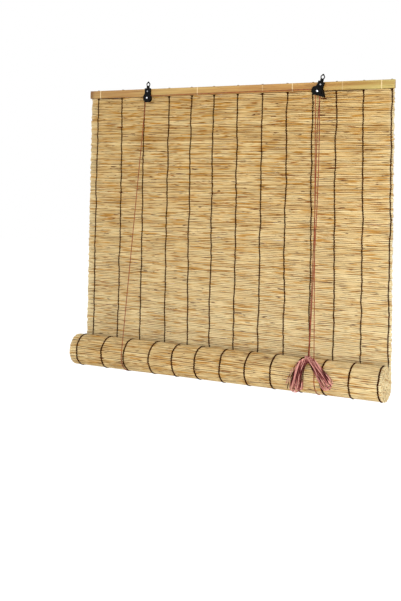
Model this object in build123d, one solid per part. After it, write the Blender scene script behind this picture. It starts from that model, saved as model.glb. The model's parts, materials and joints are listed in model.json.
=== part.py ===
from build123d import *
import os
from math import atan2, ceil, cos, degrees, floor, hypot, pi, radians, sin, sqrt, tan

# Reed roll-up blind, hanging half rolled up from the two hooks on its head rail.
# Lengths are in millimetres. X runs along the rail, Y from the room to the window, Z up.
# The origin is midway between the two hanging eyes, in the middle of their plates.

# Head rail: two split bamboo slats, with the top of the mat bound to the back one
rail_length = 1000.0
rail_height = 24.0
rail_offset = -6.5
slat_thickness = 5.0
slat_crown = 0.6
slat_edge = 1.0
thread_room = 1.2
node_width = 3.0
node_rise = 0.35
front_node_places = (39.0, 391.0, 701.0, 964.0)
back_node_places = (130.0, 468.0, 812.0)

# Reed mat: each reed is a ridge on both faces, with daylight between some of them
mat_inset = 2.5
mat_drop = 790.0
mat_thickness = 4.0
mat_clearance = 0.2
reed_pitch = 5.0
reed_groove = 0.9
gap_rows = 10
gap_height = 1.2
gap_margin = 5.0

# Warp threads: pairs of dark twine that bind the reeds, woven by hand and not quite even
warp_left_margin = 24.5
warp_right_margin = 6.5
warp_wander = (0, 12, 14, 21, 19, 15, 15, 14, 12, 11, 2, 1, 0)
warp_width = 1.8
warp_thread = 0.8
warp_clearance = 0.05
warp_tuck = 18.0

# Roll: the lower part of the mat, wound round the bottom slat
roll_radius = 46.4
roll_pitch = 4.6
roll_spread = 3.5
roll_seam = 0.15
round_share = 0.8
round_turns = 4
steps_per_turn = 24
sling_steps_per_turn = 36
bottom_slat_height = 24.0
bottom_slat_thickness = 6.0
bottom_slat_clearance = 0.3

# Hooks: an eye link and two pressed cheeks on one rivet, with a pulley at the lower edge
eye_spacing = 575.0
eye_hole_radius = 4.2
eye_ring_radius = 6.6
eye_tip_height = 9.2
link_length = 21.5
link_width = 10.0
link_foot_radius = 6.0
link_thickness = 2.0
left_link_tilt = 3.0
right_link_tilt = 15.0
right_hook_tilt = 22.0
rail_rivet_height = 16.0
rivet_to_axle = 20.3
plate_thickness = 1.2
plate_play = 0.2
plate_seat = 0.1
joggle_top = 5.5
joggle_bottom = 11.5
rivet_radius = 2.0
rivet_head_radius = 3.6
rivet_head_height = 1.5
axle_radius = 1.6
axle_head_radius = 3.0
axle_tail_radius = 2.0
axle_tail_height = 0.8
running_clearance = 0.05
washer_radius = 4.6
washer_thickness = 1.0
seat_radius = 22.0
pulley_radius = 7.2
drum_radius = 5.0
flange_thickness = 0.8
flange_slope = 0.4
left_pulley_width = 5.0
right_pulley_width = 8.0
roller_radius = 4.0
roller_teeth = 16
roller_tooth_depth = 0.4
roller_drop = 1.0
roller_pin_radius = 1.5
slot_clearance = 0.1
slot_travel_x = 2.6
slot_travel_z = -5.5

# Cords: limp twine, tied behind the rail, slung under the roll and led up over the pulleys
cord_radius = 1.1
cord_sides = 6
bundle_sides = 8
cord_clearance = 0.2
cord_spacing = 3.0
sling_clearance = 0.4
knot_radius = 2.6
knot_drop = 6.4
knot_standoff = 0.7
left_sling_x = -313.0
right_sling_x = 307.0
cord_exit_drop = 15.5

# Places that follow from the sizes above
rail_left = rail_offset - rail_length / 2
left_rivet_x = -eye_spacing / 2 - link_length * sin(radians(left_link_tilt))
left_rivet_z = -link_length * cos(radians(left_link_tilt))
right_rivet_x = eye_spacing / 2 - link_length * sin(radians(right_link_tilt))
right_rivet_z = -link_length * cos(radians(right_link_tilt))
rail_bottom = left_rivet_z - rail_rivet_height
rail_top = rail_bottom + rail_height
rail_middle = (rail_bottom + rail_top) / 2

link_face = link_thickness / 2
cheek_inside = link_face + plate_play
cheek_outside = cheek_inside + plate_thickness
rail_front = cheek_outside + plate_seat
front_slat_back = rail_front + slat_thickness
back_slat_front = front_slat_back + thread_room
mat_middle = back_slat_front + slat_thickness / 2
back_slat_rear = back_slat_front + slat_thickness

mat_left = rail_left + mat_inset
mat_width = rail_length - 2 * mat_inset
mat_top = rail_bottom - mat_clearance
roll_z = rail_bottom - mat_drop
roll_y = mat_middle + mat_thickness / 2 - roll_radius
warp_span = mat_width - warp_left_margin - warp_right_margin
warp_places = [
    mat_left + warp_left_margin + warp_span * i / (len(warp_wander) - 1) + wander
    for i, wander in enumerate(warp_wander)
]

left_axle = (left_rivet_x, left_rivet_z - rivet_to_axle)
right_axle = (
    right_rivet_x - rivet_to_axle * sin(radians(right_hook_tilt)),
    right_rivet_z - rivet_to_axle * cos(radians(right_hook_tilt)),
)
pulley_back = cheek_inside - plate_play
left_cord_y = pulley_back - left_pulley_width / 2
right_cord_y = pulley_back - right_pulley_width / 2
cross_cord_y = right_cord_y + cord_spacing / 2
lock_cord_y = right_cord_y - cord_spacing / 2
wrap_radius = drum_radius + cord_clearance + cord_radius
exit_z = right_axle[1] - cord_exit_drop
sling_radius = roll_radius + sling_clearance + cord_radius


def save(solid, name):
    """Write one node's file."""
    solid.label = name
    export_step(solid, f"parts/{name}.step")


def rod(radius, y_front, y_back, x=0.0, z=0.0):
    """Round bar along Y."""
    middle = (y_front + y_back) / 2
    return Pos(x, middle, z) * Rot(90, 0, 0) * Cylinder(radius, y_back - y_front)


def slat(flat_y, outward, places):
    """A split bamboo slat: flat inside, crowned outside, with the low rings of its nodes.

    A ring that would lie under a hook or a washer is filed away there.
    """

    def section(rise):
        edge_y = flat_y + outward * (slat_thickness - slat_crown + rise)
        crown_y = flat_y + outward * (slat_thickness + rise)
        outline = Polyline(
            (edge_y, rail_top), (flat_y, rail_top), (flat_y, rail_bottom), (edge_y, rail_bottom)
        )
        outline += ThreePointArc((edge_y, rail_bottom), (crown_y, rail_middle), (edge_y, rail_top))
        face = make_face(Plane.YZ * outline)
        return fillet([v for v in face.vertices() if abs(v.Y - edge_y) < slat_crown], slat_edge)

    body = extrude(Pos(X=rail_left) * section(0), rail_length, dir=(1, 0, 0))
    for place in places:
        if place + node_width < rail_length:
            start = rail_left + place - node_width / 2
            body += extrude(Pos(X=start) * section(node_rise), node_width, dir=(1, 0, 0))
    seat = sorted(flat_y + outward * (slat_thickness + y) for y in (running_clearance, thread_room))
    for x, z in ((left_rivet_x, left_rivet_z), (right_rivet_x, right_rivet_z)):
        body -= rod(rivet_radius, 0, 2 * mat_middle, x, z)
        body -= rod(seat_radius, *seat, x, z)
    return body


def hanging_mat():
    """The flat part of the mat: one wall of ridges, with slots of daylight between warps."""
    height = mat_top - roll_z - roll_seam
    reeds = round(height / reed_pitch)
    pitch = height / reeds
    crest = mat_thickness / 2
    groove = crest - reed_groove
    profile = []
    for i in range(reeds):
        profile.append((groove, mat_top - i * pitch))
        profile.append((crest, mat_top - (i + 0.5) * pitch))
    profile.append((groove, mat_top - height))
    front = [(mat_middle - y, z) for y, z in profile]
    back = [(mat_middle + y, z) for y, z in reversed(profile)]
    face = make_face(Plane.YZ * Polyline(*front, *back, close=True))
    wall = extrude(Pos(X=mat_left) * face, mat_width, dir=(1, 0, 0))
    slots = []
    for row in range(gap_rows):
        for bay, (x0, x1) in enumerate(zip(warp_places, warp_places[1:])):
            reed = round((row + 0.3) * reeds / gap_rows) + bay * 3 % 8
            length = x1 - x0 - 2 * gap_margin
            slot = Box(length, 2 * mat_thickness, gap_height)
            slots.append(Pos((x0 + x1) / 2, mat_middle, mat_top - reed * pitch) * slot)
    return wall - slots


def hanging_warp(x):
    """One warp pair on the flat mat: down the front, over the back slat and down the back."""
    on_mat = mat_thickness / 2 + warp_clearance
    on_slat = slat_thickness / 2 + warp_clearance
    over = rail_top + warp_clearance
    jog = 2 * mat_clearance
    front = [
        (-on_mat, roll_z + warp_tuck),
        (-on_mat, rail_bottom - jog),
        (-on_slat, rail_bottom),
        (-on_slat, over),
    ]
    back = [
        (on_slat, over),
        (on_slat, rail_bottom),
        (on_mat, rail_bottom - jog),
        (on_mat, roll_z + roll_seam),
    ]
    outer_front = [(y - warp_thread, z) for y, z in front[:-1]]
    outer_front.append((-on_slat - warp_thread, over + warp_thread))
    outer_back = [(on_slat + warp_thread, over + warp_thread)]
    outer_back += [(y + warp_thread, z) for y, z in back[1:]]
    loop = front + back + outer_back[::-1] + outer_front[::-1]
    path = [(mat_middle + y, z) for y, z in loop]
    face = make_face(Plane.YZ * Polyline(*path, close=True))
    return extrude(Pos(X=x - warp_width / 2) * face, warp_width, dir=(1, 0, 0))


def roll_surface(turn):
    """Radius of the mat's outer face, this many turns in from where the mat leaves the roll.

    The slings pull the outer turns round, so those step in only where the mat leaves them.
    """
    whole = floor(turn)
    part = turn - whole
    ramp = max(0.0, (part - round_share) / (1 - round_share))
    step = ramp * ramp * (3 - 2 * ramp)
    roundness = max(0.0, 1 - whole / round_turns)
    inward = roundness * step + (1 - roundness) * part
    return roll_radius - roll_pitch * (whole + inward)


def roll_point(radius, turn):
    """Place in the YZ plane: from the back of the roll, down, forwards and up."""
    angle = 2 * pi * turn
    return roll_y + radius * cos(angle), roll_z - radius * sin(angle)


bottom_slat_reach = hypot(bottom_slat_height, bottom_slat_thickness) / 2
core_radius = bottom_slat_reach + bottom_slat_clearance
roll_turns = (roll_radius - mat_thickness - core_radius) / roll_pitch


def rolled_mat():
    """The wound part of the mat: one spiral wall, ridged where its outer turn shows."""
    reeds = round(2 * pi * (roll_radius - mat_thickness / 2) / reed_pitch)
    ridged = [i / (2 * reeds) for i in range(2 * reeds)]
    outside = []
    for i, turn in enumerate(ridged):
        groove = reed_groove if i % 2 == 0 else 0.0
        outside.append(roll_point(roll_surface(turn) - groove, turn))
    steps = floor(roll_turns * steps_per_turn)
    turns = [i / steps_per_turn for i in range(steps + 1)] + [roll_turns]
    outside += [roll_point(roll_surface(t), t) for t in turns if t >= 1]
    inside = [roll_point(roll_surface(t) - mat_thickness, t) for t in reversed(turns)]
    face = make_face(Plane.YZ * Polyline(*outside, *inside, close=True))
    left = mat_left - roll_spread
    return extrude(Pos(X=left) * face, mat_width + 2 * roll_spread, dir=(1, 0, 0))


def rolled_warp(x):
    """One warp pair where it shows on the roll, in straight steps that clear its round."""
    steps = ceil(round_share * steps_per_turn)
    turns = [round_share * i / steps for i in range(steps + 1)]
    inner = (roll_radius + warp_clearance) / cos(pi * round_share / steps)
    inside = [roll_point(inner, turn) for turn in turns]
    outside = [roll_point(inner + warp_thread, turn) for turn in reversed(turns)]
    face = make_face(Plane.YZ * Polyline(*inside, *outside, close=True))
    return extrude(Pos(X=x - warp_width / 2) * face, warp_width, dir=(1, 0, 0))


def bottom_slat():
    """The slat that the roll is wound on, with one corner against the mat's inner end."""
    corner = degrees(atan2(bottom_slat_thickness, bottom_slat_height))
    turned = -360 * roll_turns - corner
    section = Rectangle(bottom_slat_height, bottom_slat_thickness)
    face = Plane.YZ * (Pos(roll_y, roll_z) * Rot(0, 0, turned) * section)
    return extrude(Pos(X=rail_left) * face, rail_length, dir=(1, 0, 0))


def left_outline():
    """Front view of the left cheeks, from the rail rivet."""
    points = [(-10, 10), (10, 10), (10, -9), (13.5, -15), (13.5, -27), (6, -33.7), (-7, -33.7)]
    points += [(-13.5, -27), (-13.5, -15), (-10, -9)]
    face = make_face(Plane.XZ * Polyline(*points, close=True))
    return fillet(face.vertices(), 2.0)


def right_outline():
    """Front view of the right cheeks: the lock needs the flared corner on the right."""
    points = [(-10, 9), (9.5, 9), (10, -8), (25.5, -26.5), (24.5, -29.5), (-10.5, -33.5)]
    points += [(-17.5, -23), (-17, -14), (-10.5, -8)]
    face = make_face(Plane.XZ * Polyline(*points, close=True))
    return fillet(face.vertices(), 1.6)


def cheek(outline, outer_face):
    """A pressed plate with this front view, whose room side follows points of a side view."""
    outer = [(y - plate_thickness, z) for y, z in reversed(outer_face)]
    side = make_face(Plane.YZ * Polyline(*outer_face, *outer, close=True))
    reach = 3 * rivet_to_axle
    plate = extrude(outline, reach, both=True) & extrude(side, reach, both=True)
    plate -= rod(rivet_radius, -reach, reach)
    return plate - rod(axle_radius, -reach, reach, z=-rivet_to_axle)


def rear_cheek(outline):
    """The flat plate against the rail."""
    return cheek(outline, [(cheek_outside, rivet_to_axle), (cheek_outside, -3 * rivet_to_axle)])


def front_cheek(outline, pulley_width):
    """The room-side plate, pressed forwards to make room for the pulley."""
    low_y = pulley_back - pulley_width - plate_play
    face = [(-cheek_inside, rivet_to_axle), (-cheek_inside, -joggle_top)]
    face += [(low_y, -joggle_bottom), (low_y, -3 * rivet_to_axle)]
    return cheek(outline, face)


def turned_rivet(shank, head, head_height, head_y, tail, tail_y, end_y):
    """A rivet along Y: pan head with a bevelled rim towards the room, flat peened tail."""
    rim_y = head_y - head_height / 2
    profile = Polyline(
        (0, end_y), (tail, end_y), (tail, tail_y), (shank, tail_y), (shank, head_y),
        (head, head_y), (head, rim_y), (head - head_height, head_y - head_height),
        (0, head_y - head_height), close=True,
    )
    return revolve(make_face(profile), Axis.Y)


def rail_rivet():
    """Through the front cheek, eye link, rear cheek, both slats, washer and cord loop."""
    tail_y = washer_back + 2 * (cord_radius + cord_clearance)
    return turned_rivet(
        rivet_radius, rivet_head_radius, rivet_head_height, -cheek_outside,
        rivet_head_radius, tail_y, tail_y + plate_thickness,
    )


def axle_rivet(pulley_width):
    """The pulley's axle."""
    head_y = pulley_back - pulley_width - plate_play - plate_thickness
    return Pos(0, 0, -rivet_to_axle) * turned_rivet(
        axle_radius, axle_head_radius, rivet_head_height, head_y,
        axle_tail_radius, cheek_outside, cheek_outside + axle_tail_height,
    )


def pulley(width):
    """A spool with a plain drum between two flanges."""
    front = pulley_back - width
    root = flange_thickness + flange_slope
    bore = axle_radius + running_clearance
    profile = Polyline(
        (bore, pulley_back), (pulley_radius, pulley_back),
        (pulley_radius, pulley_back - flange_thickness), (drum_radius, pulley_back - root),
        (drum_radius, front + root), (pulley_radius, front + flange_thickness),
        (pulley_radius, front), (bore, front), close=True,
    )
    return revolve(make_face(profile), Axis.Y)


def eye_link():
    """The flat link that the blind hangs by: a foot on the rivet, a shank and a pointed eye."""
    tip = [(5.0, 4.3), (0.8, eye_tip_height), (-0.8, eye_tip_height), (-5.0, 4.3)]
    face = Circle(link_foot_radius) + Pos(0, link_length / 2) * Rectangle(link_width, link_length)
    face += Pos(0, link_length) * (Circle(eye_ring_radius) + make_face(Polyline(*tip, close=True)))
    face -= Circle(rivet_radius + running_clearance)
    face -= Pos(0, link_length) * Circle(eye_hole_radius)
    return extrude(Plane.XZ * face, link_face, both=True)


def lock_roller():
    """The toothed roller that jams the cords against the pulley, on its own pins."""
    x = right_axle[0] + wrap_radius + cord_radius + cord_clearance + roller_radius
    z = right_axle[1] - roller_drop
    points = []
    for i in range(2 * roller_teeth):
        radius = roller_radius - roller_tooth_depth * (i % 2)
        angle = pi * i / roller_teeth
        points.append((x + radius * cos(angle), z + radius * sin(angle)))
    face = make_face(Plane.XZ.offset(-pulley_back) * Polyline(*points, close=True))
    length = right_pulley_width
    body = extrude(face, length, dir=(0, -1, 0))
    pin_front = pulley_back - length - plate_play - plate_thickness
    return body + rod(roller_pin_radius, pin_front, cheek_outside, x, z)


def lock_slot():
    """The slanted slot for the roller's pins, tight at its top."""
    x = right_axle[0] + wrap_radius + cord_radius + cord_clearance + roller_radius
    z = right_axle[1] - roller_drop
    travel = hypot(slot_travel_x, slot_travel_z)
    turned = degrees(atan2(slot_travel_z, slot_travel_x))
    slot = SlotCenterToCenter(travel, 2 * (roller_pin_radius + slot_clearance))
    middle = Pos(x + slot_travel_x / 2, z + slot_travel_z / 2)
    return extrude(Plane.XZ * (middle * Rot(0, 0, turned) * slot), rivet_to_axle, both=True)


def tube(path):
    """A cord along a path, with a few flat sides so that its solid stays light."""
    section = Plane(origin=path @ 0, z_dir=path % 0) * RegularPolygon(cord_radius, cord_sides)
    return sweep(section, path)


def taut_cord(low, high):
    """A cord pulled straight, with level ends."""
    direction = Vector(*high) - Vector(*low)
    return extrude(Pos(*low) * Circle(cord_radius), direction.length, dir=direction)


def cord_knot(rivet_x, rivet_z):
    """The cord's fixed end: a loop round the rail rivet's tail and the knot that closes it."""
    loop_y = washer_back + cord_clearance + cord_radius
    inside = rivet_radius + cord_clearance
    loop = Cylinder(inside + 2 * cord_radius, 2 * cord_radius)
    loop -= Cylinder(inside, 2 * cord_radius)
    shoulder = (0.75 * knot_radius, 0.7 * knot_radius)
    profile = Polyline(
        (0, -knot_radius), (shoulder[0], -shoulder[1]), (knot_radius, 0), shoulder,
        (0, knot_radius), close=True,
    )
    knot = revolve(Plane.XZ * make_face(profile), Axis.Z)
    knot = Pos(rivet_x, loop_y + knot_standoff, rivet_z - knot_drop) * knot
    return Pos(rivet_x, loop_y, rivet_z) * Rot(90, 0, 0) * loop + knot


def rear_cord(rivet_x, rivet_z, sling_x):
    """From the knot down the back of the mat to the roll."""
    top_y = washer_back + cord_clearance + cord_radius + knot_standoff
    top = (rivet_x, top_y, rivet_z - knot_drop - knot_radius + cord_clearance)
    return taut_cord((sling_x, roll_y + sling_radius, roll_z + roll_seam), top)


def sling_end(cord_y, axle_z):
    """Turns round the roll, from its back, at which a cord leaves straight for the pulley."""
    across = cord_y - roll_y
    up = axle_z - roll_z
    run = sqrt(across**2 + up**2 - sling_radius**2)
    return 0.5 + (atan2(across, up) + atan2(sling_radius, run)) / (2 * pi)


def sling(x, end):
    """The cord under the roll, in short straight steps."""
    steps = ceil(end * sling_steps_per_turn)
    sections = []
    for i in range(steps + 1):
        turn = end * i / steps
        along = (0, *[far - near for far, near in zip(roll_point(1, turn + 0.25), (roll_y, roll_z))])
        plane = Plane(origin=(x, *roll_point(sling_radius, turn)), x_dir=(1, 0, 0), z_dir=along)
        sections.append(plane * RegularPolygon(cord_radius, cord_sides))
    return loft(sections, ruled=True)


def front_cord(x, end, axle, cord_y):
    """From the front of the roll up to the left side of a pulley."""
    y, z = roll_point(sling_radius, end)
    return taut_cord((x, y, z + roll_seam), (axle[0] - wrap_radius, cord_y, axle[1]))


def cross_cord():
    """Over the left pulley, along the rail, over the right pulley and down to the exit."""
    left = left_axle[0] - wrap_radius
    right = right_axle[0] + wrap_radius
    points = [
        (left, left_cord_y, left_axle[1]),
        (left, left_cord_y, left_axle[1] + wrap_radius),
        (right, cross_cord_y, right_axle[1] + wrap_radius),
        (right, cross_cord_y, exit_z),
    ]
    return tube(FilletPolyline(*points, radius=wrap_radius - 0.001))


def lock_cord():
    """The right lift cord, over the right pulley and down to the exit."""
    x, z = right_axle
    y = lock_cord_y
    over = ThreePointArc(
        (x - wrap_radius, y, z), (x, y, z + wrap_radius), (x + wrap_radius, y, z)
    )
    return tube(over + Line((x + wrap_radius, y, z), (x + wrap_radius, y, exit_z)))


washer_back = back_slat_rear + plate_seat + washer_thickness


def rail_washers():
    """One washer behind the rail on each rail rivet."""
    pair = []
    for x, z in ((left_rivet_x, left_rivet_z), (right_rivet_x, right_rivet_z)):
        disc = rod(washer_radius, washer_back - washer_thickness, washer_back, x, z)
        pair.append(disc - rod(rivet_radius, 0, 2 * washer_back, x, z))
    return Compound(children=pair)


# Pull cords: the free ends, from the exit of the lock to the hank that rests on the roll
exit_x = right_axle[0] + wrap_radius
left_pull_route = [
    (exit_x, cross_cord_y, exit_z),
    (exit_x, cross_cord_y, -82),
    (280.4, -4.2, -132),
    (280.0, -8.0, -186),
    (279.7, -12.6, -242),
    (279.5, -17.8, -298),
    (279.5, -23.4, -354),
    (279.6, -29.3, -410),
    (279.8, -35.4, -466),
    (280.1, -41.6, -522),
    (280.4, -47.7, -578),
    (280.6, -53.4, -634),
    (280.7, -58.4, -688),
    (280.6, -62.2, -734),
    (280.3, -64.6, -769.45),
]
right_pull_route = [
    (exit_x, lock_cord_y, exit_z),
    (exit_x, lock_cord_y, -84),
    (281.2, -6.6, -134),
    (282.1, -9.8, -188),
    (283.0, -14.0, -244),
    (283.8, -18.9, -300),
    (284.4, -24.4, -356),
    (284.8, -30.3, -412),
    (285.0, -36.5, -468),
    (285.0, -42.8, -524),
    (284.9, -49.0, -580),
    (284.6, -54.9, -636),
    (284.2, -60.2, -690),
    (283.7, -64.3, -736),
    (283.3, -66.8, -769.45),
]


def route_radii(points):
    """As large an arc at each corner as the runs beside it leave room for."""
    radii = []
    for a, b, c in zip(points, points[1:], points[2:]):
        into = Vector(*b) - Vector(*a)
        away = Vector(*c) - Vector(*b)
        half_turn = radians(into.get_angle(away)) / 2
        radii.append(0.45 * min(into.length, away.length) / tan(half_turn))
    return radii


def pull_cord(route, name):
    """A free cord along its route, with its radii and volume printed."""
    radii = route_radii(route)
    path = FilletPolyline(*route, radius=radii)
    cord = tube(path)
    expected = RegularPolygon(cord_radius, cord_sides).area * path.length
    print(name, "radii", [round(r) for r in radii])
    print(name, "length", round(path.length, 1), "volume", round(cord.volume, 1),
          "expected", round(expected, 1))
    return cord


# Hank: the spare cord tied in a bow, with a lobe each side of its knot
hank_knot = [
    ((282.0, -67.0, -769.75), 13, 13),
    ((282.0, -67.0, -774.5), 19, 19),
    ((282.0, -67.0, -783.5), 19, 19),
    ((282.0, -67.0, -788.25), 13, 13),
]
left_lobe = [
    ((279.5, -73.5, -786), 14, 12),
    ((273.0, -83.5, -801), 21, 13),
    ((263.0, -89.0, -826), 33, 13),
    ((255.0, -89.5, -848), 38, 11),
    ((253.0, -89.5, -856), 26, 7),
]
right_lobe = [
    ((286.0, -73.5, -784), 14, 12),
    ((299.0, -86.5, -795), 20, 12),
    ((314.0, -91.5, -807), 26, 13),
    ((334.0, -92.5, -826), 34, 13),
    ((348.0, -92.5, -840), 36, 11),
    ((353.0, -92.5, -845), 26, 7),
]


def bundle(sections):
    """A flattened bundle of cord through the given middles, widths and thicknesses."""
    faces = []
    for number, (middle, width, thickness) in enumerate(sections):
        before = Vector(*sections[max(number - 1, 0)][0])
        after = Vector(*sections[min(number + 1, len(sections) - 1)][0])
        along = (after - before).normalized()
        across = Vector(0, 1, 0).cross(along).normalized()
        plane = Plane(origin=middle, x_dir=across, z_dir=along)
        outline = [
            (width / 2 * cos(2 * pi * i / bundle_sides), thickness / 2 * sin(2 * pi * i / bundle_sides))
            for i in range(bundle_sides)
        ]
        faces.append(plane * make_face(Polyline(*outline, close=True)))
    return loft(faces, ruled=True)


def cord_hank():
    """The bow as one closed solid."""
    return bundle(hank_knot) + bundle(left_lobe) + bundle(right_lobe)


os.makedirs("parts", exist_ok=True)

save(slat(front_slat_back, -1, front_node_places), "front_slat")
save(slat(back_slat_front, 1, back_node_places), "back_slat")
save(hanging_mat(), "reed_mat")
save(rolled_mat(), "rolled_mat")
save(bottom_slat(), "bottom_slat")
for number, place in enumerate(warp_places, 1):
    save(hanging_warp(place), f"warp_{number:02d}")
    save(rolled_warp(place), f"roll_warp_{number:02d}")

hooks = (
    ("left", Pos(left_rivet_x, 0, left_rivet_z), 0.0, left_link_tilt),
    ("right", Pos(right_rivet_x, 0, right_rivet_z), right_hook_tilt, right_link_tilt),
)
outlines = {"left": left_outline(), "right": right_outline()}
pulley_widths = {"left": left_pulley_width, "right": right_pulley_width}
for side, place, tilt, link_tilt in hooks:
    hook = place * Rot(0, tilt, 0)
    width = pulley_widths[side]
    plates = {
        "front_cheek": hook * front_cheek(outlines[side], width),
        "rear_cheek": hook * rear_cheek(outlines[side]),
    }
    for name, plate in plates.items():
        save(plate - lock_slot() if side == "right" else plate, f"{side}_{name}")
    save(place * Rot(0, link_tilt, 0) * eye_link(), f"{side}_eye_link")
    save(place * rail_rivet(), f"{side}_rail_rivet")
    save(hook * axle_rivet(width), f"{side}_axle_rivet")
    save(hook * Pos(0, 0, -rivet_to_axle) * pulley(width), f"{side}_pulley")
save(rail_washers(), "rail_washers")
save(lock_roller(), "lock_roller")

left_end = sling_end(left_cord_y, left_axle[1])
right_end = sling_end(lock_cord_y, right_axle[1])
save(cord_knot(left_rivet_x, left_rivet_z), "left_cord_knot")
save(cord_knot(right_rivet_x, right_rivet_z), "right_cord_knot")
save(rear_cord(left_rivet_x, left_rivet_z, left_sling_x), "left_rear_cord")
save(rear_cord(right_rivet_x, right_rivet_z, right_sling_x), "right_rear_cord")
save(sling(left_sling_x, left_end), "left_sling")
save(sling(right_sling_x, right_end), "right_sling")
save(front_cord(left_sling_x, left_end, left_axle, left_cord_y), "left_front_cord")
save(front_cord(right_sling_x, right_end, right_axle, lock_cord_y), "right_front_cord")
save(cross_cord(), "cross_cord")
save(lock_cord(), "lock_cord")
save(pull_cord(left_pull_route, "left_pull_cord"), "left_pull_cord")
save(pull_cord(right_pull_route, "right_pull_cord"), "right_pull_cord")
save(cord_hank(), "cord_hank")
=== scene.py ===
# %% [markdown]
# # A reed roll up blind
# A mat of reeds hangs from a head rail of two split bamboo slats. Twine binds the reeds
# along thirteen lines, and two cords sling the lower part of the mat up as a roll. The
# solid model gives the places and sizes, in metres: X along the rail, Y from the room to
# the window, Z up. This lesson dresses that model, one piece and one finish at a time.

# %% Load the frame
import json
import math
import random

import bmesh
import bpy
from mathutils import Matrix, Vector, noise


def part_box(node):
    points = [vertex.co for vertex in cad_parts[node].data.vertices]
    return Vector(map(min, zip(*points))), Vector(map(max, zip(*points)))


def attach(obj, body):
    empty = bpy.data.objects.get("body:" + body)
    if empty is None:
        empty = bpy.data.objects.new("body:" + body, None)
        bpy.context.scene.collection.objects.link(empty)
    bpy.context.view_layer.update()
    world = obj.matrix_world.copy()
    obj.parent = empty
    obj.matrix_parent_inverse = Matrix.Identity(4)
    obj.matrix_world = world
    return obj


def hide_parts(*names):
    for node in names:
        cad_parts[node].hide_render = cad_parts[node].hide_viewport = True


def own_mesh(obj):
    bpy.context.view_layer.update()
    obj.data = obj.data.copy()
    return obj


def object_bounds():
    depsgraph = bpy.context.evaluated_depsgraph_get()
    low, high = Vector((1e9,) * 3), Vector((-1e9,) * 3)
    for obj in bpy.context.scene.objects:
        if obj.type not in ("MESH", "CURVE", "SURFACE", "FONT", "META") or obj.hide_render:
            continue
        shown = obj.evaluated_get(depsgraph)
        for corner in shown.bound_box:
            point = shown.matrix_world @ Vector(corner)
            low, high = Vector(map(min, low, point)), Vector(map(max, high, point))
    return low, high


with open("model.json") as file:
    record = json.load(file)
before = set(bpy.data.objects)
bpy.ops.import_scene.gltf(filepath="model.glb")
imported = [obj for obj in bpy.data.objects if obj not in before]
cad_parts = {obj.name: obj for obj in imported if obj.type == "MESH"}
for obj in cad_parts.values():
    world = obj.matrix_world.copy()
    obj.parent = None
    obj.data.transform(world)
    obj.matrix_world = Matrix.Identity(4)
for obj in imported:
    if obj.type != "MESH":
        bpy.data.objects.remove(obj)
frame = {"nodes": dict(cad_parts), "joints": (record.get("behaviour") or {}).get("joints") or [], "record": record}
cad_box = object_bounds()
nodes = frame["nodes"]
joints = {joint["name"]: joint for joint in frame["joints"]}
mm = 0.001

# %% [markdown]
# ## The places that the pieces share
# Nothing is measured twice. The rail, the mat and the warps are read from the solids'
# boxes, and the roll's axis from the joint that turns it.

# %% Read the places
mat_low, mat_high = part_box("reed_mat")
roll_low, roll_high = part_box("rolled_mat")
slat_low, slat_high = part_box("back_slat")
mat_y = (mat_low.y + mat_high.y) / 2
roll_axis = Vector(joints["roll_turn"]["pos_m"])
roll_radius = roll_axis.y - roll_low.y
warp_count = 13
warp_x = [sum(corner.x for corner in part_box(f"warp_{i + 1:02d}")) / 2 for i in range(warp_count)]
print("mat", [round(v, 4) for v in (*mat_low, *mat_high)])

# %% [markdown]
# ## Camera
# The photograph was taken from the right, a little below the rail, with a longish lens. The
# blind hangs above the middle of the picture, so the lens is shifted instead of tilted. A
# camera looks down its own -Z: it is first stood level, then pitched, rolled and turned.

# %% Place the camera
photo_height = 601
focal_px = 963.5
principal_y_px = 159.9
camera_place = Vector((1.28931, -2.52084, -0.32484))
camera_yaw, camera_pitch, camera_roll = 0.503300, 0.031927, 0.019064


def placed(name, data):
    """A new object in the scene."""
    made = bpy.data.objects.new(name, data)
    bpy.context.scene.collection.objects.link(made)
    return made


level_camera = Matrix.Rotation(math.pi / 2, 4, "X")
aimed = (Matrix.Rotation(camera_yaw, 4, "Z") @ level_camera
         @ Matrix.Rotation(camera_pitch, 4, "X") @ Matrix.Rotation(camera_roll, 4, "Z"))
camera_data = bpy.data.cameras.new("camera")
camera_data.sensor_width = 36.0
camera_data.lens = focal_px * camera_data.sensor_width / photo_height
camera_data.shift_y = (principal_y_px - photo_height / 2) / photo_height
camera = placed("camera", camera_data)
camera.matrix_world = Matrix.Translation(camera_place) @ aimed
bpy.context.scene.camera = camera
print("lens", round(camera_data.lens, 1), "mm, shift", round(camera_data.shift_y, 3))

# %% [markdown]
# ## Helpers for materials
# A finish here is a small tree of nodes. One helper adds a node and fills its sockets: a
# value is written to the socket, and another node's output is linked to it.

# %% Node helpers
def linear(red, green, blue):
    """A colour as it is seen on a screen, 0 to 255, as the numbers that a shader takes."""
    shares = [value / 255 for value in (red, green, blue)]
    return (*[s / 12.92 if s <= 0.04045 else ((s + 0.055) / 1.055) ** 2.4 for s in shares], 1.0)


def add(tree, kind, inputs=None, **settings):
    """Add a node, with its settings and its sockets filled or linked."""
    made = tree.nodes.new(kind)
    for key, value in settings.items():
        setattr(made, key, value)
    for key, value in (inputs or {}).items():
        if isinstance(value, bpy.types.NodeSocket):
            tree.links.new(value, made.inputs[key])
        else:
            made.inputs[key].default_value = value
    return made


def material(name, **sockets):
    """A new material and its surface shader, with plain values on the shader's sockets."""
    made = bpy.data.materials.new(name)
    made.use_nodes = True
    shader = made.node_tree.nodes["Principled BSDF"]
    for key, value in sockets.items():
        shader.inputs[key.replace("_", " ")].default_value = value
    return made, made.node_tree, shader


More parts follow.
